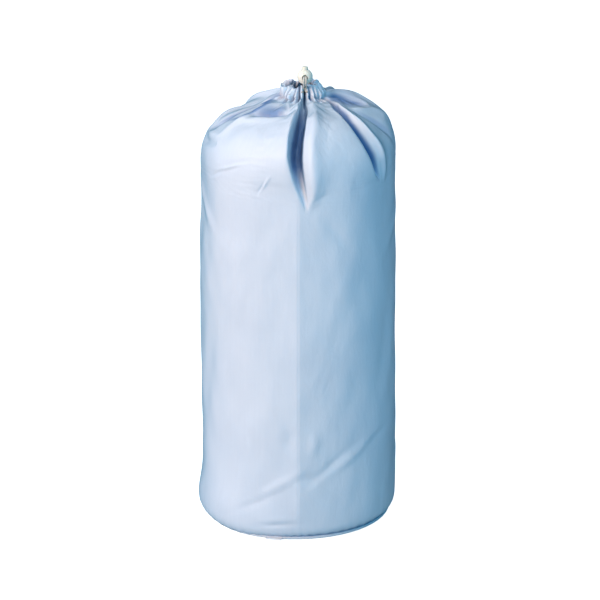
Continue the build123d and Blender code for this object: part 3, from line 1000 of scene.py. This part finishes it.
def base_seam_stitches():
    """Stitches on the upper outer side of the piping."""
    angle = np.linspace(0, 2 * np.pi, 2000)
    r = PIPING_R + 1.4 + foot(angle)
    line = np.stack([r * np.sin(angle), -r * np.cos(angle), np.full_like(angle, 6.15)], 1)
    outward = np.stack([np.sin(angle) * 0.75, -np.cos(angle) * 0.75, np.full_like(angle, 0.66)], 1)
    return stitch_run("base_seam_stitches", line, outward, length=2.4, gap=1.0, radius=0.22)


base_stitches = base_seam_stitches()


# ------------------------------------------------------------------ base panel
def base_panel():
    """Disc under the bag with its rim turned up inside the piping."""
    radii = np.r_[np.linspace(1.0, 128, 40), np.linspace(129.5, 136.4, 8),
                  [137.5, 138.5, 139.0, 139.0, 138.9]]
    rise = np.r_[np.zeros(48), [0.25, 1.0, 2.0, 3.4, 5.0]]
    columns = 240
    angle, r = np.meshgrid(full_turn(columns), radii)
    r = r + foot(angle) * smooth((r - 60) / 78)
    ripple = np.cos(47 * angle + 2 * np.sin(5 * angle)) * smooth((r - 110) / 20)
    sag = (0.45 + 0.35 * np.cos(3 * angle + r / 30) * np.exp(-((r - 80) / 50) ** 2)
           + 0.25 * ripple)
    z = rise[:, None] + np.maximum(sag, 0.05) + 0.3
    verts = np.stack([r * np.sin(angle), -r * np.cos(angle), z], -1).reshape(-1, 3)
    faces = grid_faces(len(radii), columns, True)[0]
    first = np.arange(columns)
    fan = np.stack([np.full(columns, len(verts)), np.roll(first, -1), first], 1)
    verts = np.vstack([verts, [[0, 0, 0.8]]])
    uvs = verts[np.r_[faces.ravel(), fan.ravel()], :2] * MM
    ob = new_mesh("base_disc", verts * MM, faces.tolist() + fan.tolist(), uvs, base_satin_shaded)
    thickness = ob.modifiers.new("thickness", "SOLIDIFY")
    thickness.thickness = 0.0006
    thickness.offset = 0
    return ob


disc = base_panel()

# ------------------------------------------------------------------ care label
LABEL_ANGLE = math.radians(-14)
LABEL_OUT = np.array([math.sin(LABEL_ANGLE), -math.cos(LABEL_ANGLE), 0])
LABEL_HALF_WIDTH = 12
# (radius, height) out along the ribbon's upper half, round its fold and back under
LABEL_SECTION = np.array([
    (143.0, 3.35), (145.5, 3.42), (148.5, 3.5), (151.5, 3.75), (154.5, 4.1), (157.2, 4.35),
    (158.6, 4.3), (159.1, 4.0), (158.6, 3.7), (157.2, 3.6), (154.5, 3.35), (151.5, 3.02),
    (148.5, 2.85), (145.5, 2.85), (143.0, 2.85)])


def care_label():
    """A folded ribbon caught in the base seam, its outer corners lifted, the right one more."""
    side = np.array([math.cos(LABEL_ANGLE), math.sin(LABEL_ANGLE), 0])
    across = np.linspace(-LABEL_HALF_WIDTH, LABEL_HALF_WIDTH, 25)
    r, z = LABEL_SECTION.T[:, :, None]
    lift = (0.5 * smooth((r - 147) / 12) * (across / LABEL_HALF_WIDTH) ** 2
            * np.where(across > 0, 1, 0.5))
    verts = LABEL_OUT * r[..., None] + side * across[None, :, None]
    verts[..., 2] = z + lift
    faces, corner = grid_faces(len(LABEL_SECTION), len(across), False)
    along = arc_length(LABEL_SECTION)
    uvs = np.stack([across[corner[..., 1]] * MM, along[corner[..., 0]] * MM], -1)
    ob = new_mesh("care_label_ribbon", verts.reshape(-1, 3) * MM, faces, uvs, ribbon)
    thickness = ob.modifiers.new("thickness", "SOLIDIFY")
    thickness.thickness = 0.00018
    thickness.offset = 0
    rounding = ob.modifiers.new("round", "SUBSURF")
    rounding.levels = rounding.render_levels = 1
    return ob


label = care_label()

# ------------------------------------------------------------------ cords
CORD_R = 1.45
STRAND_X = 1.6           # each strand's distance from the lock's middle
HOLE_Z = 698.3           # height of the strands through the lock
HOLE_REACH = 11.6        # from the lock's middle to where the strands leave it
RISER_Y = LOCK_Y - HOLE_REACH - 1.9  # where the strands climb in front of the lock
KNOT_Z = 407.0
# (y, z) from behind the lock over the gathered top and down the back of the bag
TAIL_LINE = [
    (47.5, 678.0), (52, 672.5), (60, 668.5), (74, 664.5), (90, 660.0), (108, 650.5),
    (124, 637.5), (137, 620), (146.5, 598), (152.0, 570), (153.6, 540), (153.4, 500),
    (153.6, 460), (154.0, 425), (154.6, 410)]
SIDES = (("left", -1), ("right", 1))


def cord(name, path, closed=False):
    return tube(name, path, CORD_R, white_cord, ripple=0.07, closed=closed)


def riser(tag, side):
    """From inside the hem, out at the slit and up in front of the lock."""
    x = LOCK_X + side * STRAND_X
    start_x, start_y = hem_plan(SLIT + side * 0.115, 0.5)
    exit_x, exit_y = hem_plan(SLIT + side * 0.06, 0.5)
    path = [(start_x, start_y, 674.3), (exit_x, exit_y - 0.8, 675.2),
            (LOCK_X + side * 1.9, -25.8, 679.0), (x, -31.4, 684.0),
            (x, RISER_Y + 3.0, 687.4), (x, RISER_Y + 0.9, 690.2)]
    return cord("cord_riser_" + tag, curve_points(path, 0.8))


def over_lock(tag, side):
    """Over the front of the lock, through it and back across the mouth."""
    line = [(RISER_Y + 1.05, 689.8), (RISER_Y + 0.6, 693.0), (RISER_Y + 1.9, 696.2),
            (RISER_Y + 4.8, 697.9), (LOCK_Y - 4, HOLE_Z), (LOCK_Y + 4, HOLE_Z),
            (LOCK_Y + HOLE_REACH, 698.2), (LOCK_Y + 20, 697.2), (4, 695.4), (18, 694.2),
            (30, 691.0), (40, 685.6), TAIL_LINE[0]]
    path = [(LOCK_X + side * STRAND_X, y, z) for y, z in line]
    return cord("cord_over_" + tag, curve_points(path, 0.9))


def tail(tag, side, wobble):
    """Down the back of the bag to the knot."""
    x = LOCK_X + side * STRAND_X
    path = [(x + wobble * 0.9 * math.sin(i * 1.1), y, z) for i, (y, z) in enumerate(TAIL_LINE)]
    path[-1] = (LOCK_X + side * 0.7, 154.8, 410)
    return cord("cord_tail_" + tag, curve_points(path, 1.0))


def loose_end(tag, side, wobble):
    """Out of the underside of the knot."""
    x = LOCK_X + side * STRAND_X
    path = [(LOCK_X + side * 0.8, 154.8, 404.5), (x + wobble * 1.2, 155.2, 399),
            (x + wobble * 3.2, 155.6, 393), (x + wobble * 4.0, 155.8, 388.5)]
    return cord("cord_end_" + tag, curve_points(path, 0.8))


def knot():
    """A small trefoil that joins the two tails."""
    turn = full_turn(120)
    x = LOCK_X + (np.sin(turn) + 2 * np.sin(2 * turn)) * 1.15
    y = 156.0 + np.sin(3 * turn) * 1.3
    z = KNOT_Z + (np.cos(turn) - 2 * np.cos(2 * turn)) * 1.35
    return cord("cord_knot", np.stack([x, y, z], 1), closed=True)


def hem_cord():
    """The thin run of cord inside the hem channel."""
    angle = np.linspace(SLIT + 0.12, SLIT + 2 * np.pi - 0.12, 900)
    points = np.concatenate([hem_plan(angle, 0.5), (674.0 + 0.85 * hem_drop(angle))[:, None]], 1)
    inward = np.array([MOUTH_X, 0.0]) - points[:, :2]
    points[:, :2] += 0.35 * inward / np.linalg.norm(inward, axis=1)[:, None]
    return tube("cord_in_hem", points, 0.36, white_cord, sides=8, ripple=0.02)


strands = {}
for tag, side in SIDES:
    strands["riser_" + tag] = riser(tag, side)
    strands["over_" + tag] = over_lock(tag, side)
for (tag, side), wobble in zip(SIDES, (-0.8, 0.9)):
    strands["tail_" + tag] = tail(tag, side, wobble)
    strands["end_" + tag] = loose_end(tag, side, wobble)
strands["knot"] = knot()
cord_loop = hem_cord()


# ------------------------------------------------------------------ lock
def lock_spring():
    coil_r, turns, bottom, height = 2.7, 4.5, 688.78, 4.2
    share = np.linspace(0, 1, 220)
    turn = 2 * np.pi * turns * share
    path = np.stack([LOCK_X + coil_r * np.cos(turn), LOCK_Y + coil_r * np.sin(turn),
                     bottom + height * share], 1)
    return tube("lock_coil", path, 0.3, steel, sides=8)


spring = lock_spring()
assign(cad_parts["lock_body"], ivory)
assign(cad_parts["lock_plunger"], ivory_button)

# ------------------------------------------------------------------ what rides on what
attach(shell, "bag")
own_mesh(shell)
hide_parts("side_panel")
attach(disc, "bag")
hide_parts("base_panel")
for ob in (piping, base_stitches):
    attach(ob, "bag")
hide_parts("piping_cover")
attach(filler, "bag")
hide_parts("piping_core")
for ob in (hem, hem_stitches):
    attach(ob, "mouth")
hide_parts("hem_channel")
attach(cord_loop, "mouth")
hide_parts("drawcord_loop")
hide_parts("care_label")
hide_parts("drawcord_tails")
for key in ("tail_left", "tail_right", "end_left", "end_right", "knot"):
    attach(strands[key], "mouth")
    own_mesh(strands[key])
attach(spring, "lock")
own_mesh(spring)
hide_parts("lock_spring")
for tag, _ in SIDES:
    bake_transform(strands["riser_" + tag])
    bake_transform(strands["over_" + tag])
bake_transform(label)

# ------------------------------------------------------------------ camera
CAMERA_TILT = 0.3114     # radians below the horizon
camera_data = bpy.data.cameras.new("photo_camera")
camera = bpy.data.objects.new("photo_camera", camera_data)
scene.collection.objects.link(camera)
camera.location = (1.1 * MM, -3.2, 1.3693)
camera.rotation_euler = (math.pi / 2 - CAMERA_TILT, 0, -0.0005)
camera_data.sensor_width = 36.0
camera_data.lens = 130.32
camera_data.clip_start, camera_data.clip_end = 0.1, 60
scene.camera = camera


# ------------------------------------------------------------------ floor and light
def floor():
    """A pale sheet 12 m square, just under the bag."""
    count = 40
    line = np.linspace(-6, 6, count)
    x, y = np.meshgrid(line, line)
    verts = np.stack([x, y, np.full_like(x, -0.0004)], -1).reshape(-1, 3)
    faces, _ = grid_faces(count, count, False)
    ob = new_mesh("floor", verts, faces, shade_smooth=False)
    material, net, shader = node_material("pale_floor")
    tone = net.noise(net.coord("Object"), scale=3.0)
    base = net.ramp(tone, (0.3, (0.54, 0.66, 0.71)), (0.7, (0.56, 0.68, 0.73)))
    # the camera sees the floor brightened, as in a studio sweep; the bag isn't lit by it
    seen = net.add("LightPath").outputs["Is Camera Ray"]
    net.feed(shader, {
        "Base Color": base,
        "Roughness": 0.9,
        "Emission Color": (1, 1, 1, 1),
        "Emission Strength": net.math("MULTIPLY", seen, 1.02),
    })
    assign(ob, material)


floor()


def area_light(name, location, target, size, power, colour):
    light = bpy.data.lights.new(name, "AREA")
    light.shape = "RECTANGLE"
    light.size, light.size_y = size
    light.energy = power
    light.color = colour
    ob = bpy.data.objects.new(name, light)
    ob.location = location
    aim = Vector(target) - Vector(location)
    ob.rotation_euler = aim.to_track_quat("-Z", "Y").to_euler()
    scene.collection.objects.link(ob)


area_light("key_left", location=(-1.9, -2.4, 1.95), target=(0, 0, 0.36), size=(1.2, 1.9),
           power=90, colour=(1.0, 0.635, 0.41))
area_light("top_soft", location=(0.5, -0.9, 3.0), target=(0, 0, 0.6), size=(1.4, 1.4),
           power=29, colour=(0.84, 0.96, 1.0))
area_light("side_fill", location=(1.7, -2.4, 1.2), target=(0, 0, 0.36), size=(1.4, 1.8),
           power=25, colour=(0.0, 0.63, 1.0))

BLACK = (0, 0, 0, 1)
AMBIENT = (0.0, 0.035, 0.075, 1)   # from all round, fading towards the right
LEFT_GLOW = (1.55, 2.0, 2.4, 1)    # from the left
SKY = (0.06, 0.07, 0.08, 1)        # from above


def studio_world():
    """White to the camera; soft directional light to everything else."""
    world = bpy.data.worlds.new("studio")
    scene.world = world
    world.use_nodes = True
    world.node_tree.nodes.clear()
    net = Net(world.node_tree)
    out = net.add("OutputWorld")
    seen = net.add("Background")
    net.feed(seen, {"Color": (1, 1, 1, 1), "Strength": 1.0})
    lighting = net.add("Background")
    x, _, z = net.split(net.coord("Generated"))
    right = net.math("MAXIMUM", x, 0.0)
    left = net.math("MAXIMUM", net.math("MULTIPLY", x, -1.0), 0.0)
    ambient = net.math("MULTIPLY_ADD", right, -0.9, 1.0, clamp=True)
    glow = net.math("MULTIPLY", left, left)
    up = net.math("MAXIMUM", z, 0.0)
    sky = net.mix(net.math("MULTIPLY", up, up), BLACK, SKY)
    ambient_tone = net.mix(ambient, BLACK, AMBIENT)
    tone = net.mix(1.0, ambient_tone, net.mix(glow, BLACK, LEFT_GLOW), "ADD")
    net.feed(lighting, {"Color": net.mix(1.0, tone, sky, "ADD"), "Strength": 1.0})
    path = net.add("LightPath")
    chooser = net.add("MixShader")
    for socket, value in zip(chooser.inputs, (path.outputs["Is Camera Ray"],
                                              lighting.outputs[0], seen.outputs[0])):
        net.put(socket, value)
    net.put(out.inputs[0], chooser.outputs[0])


studio_world()
scene.view_settings.view_transform = "Standard"
scene.view_settings.look = "None"
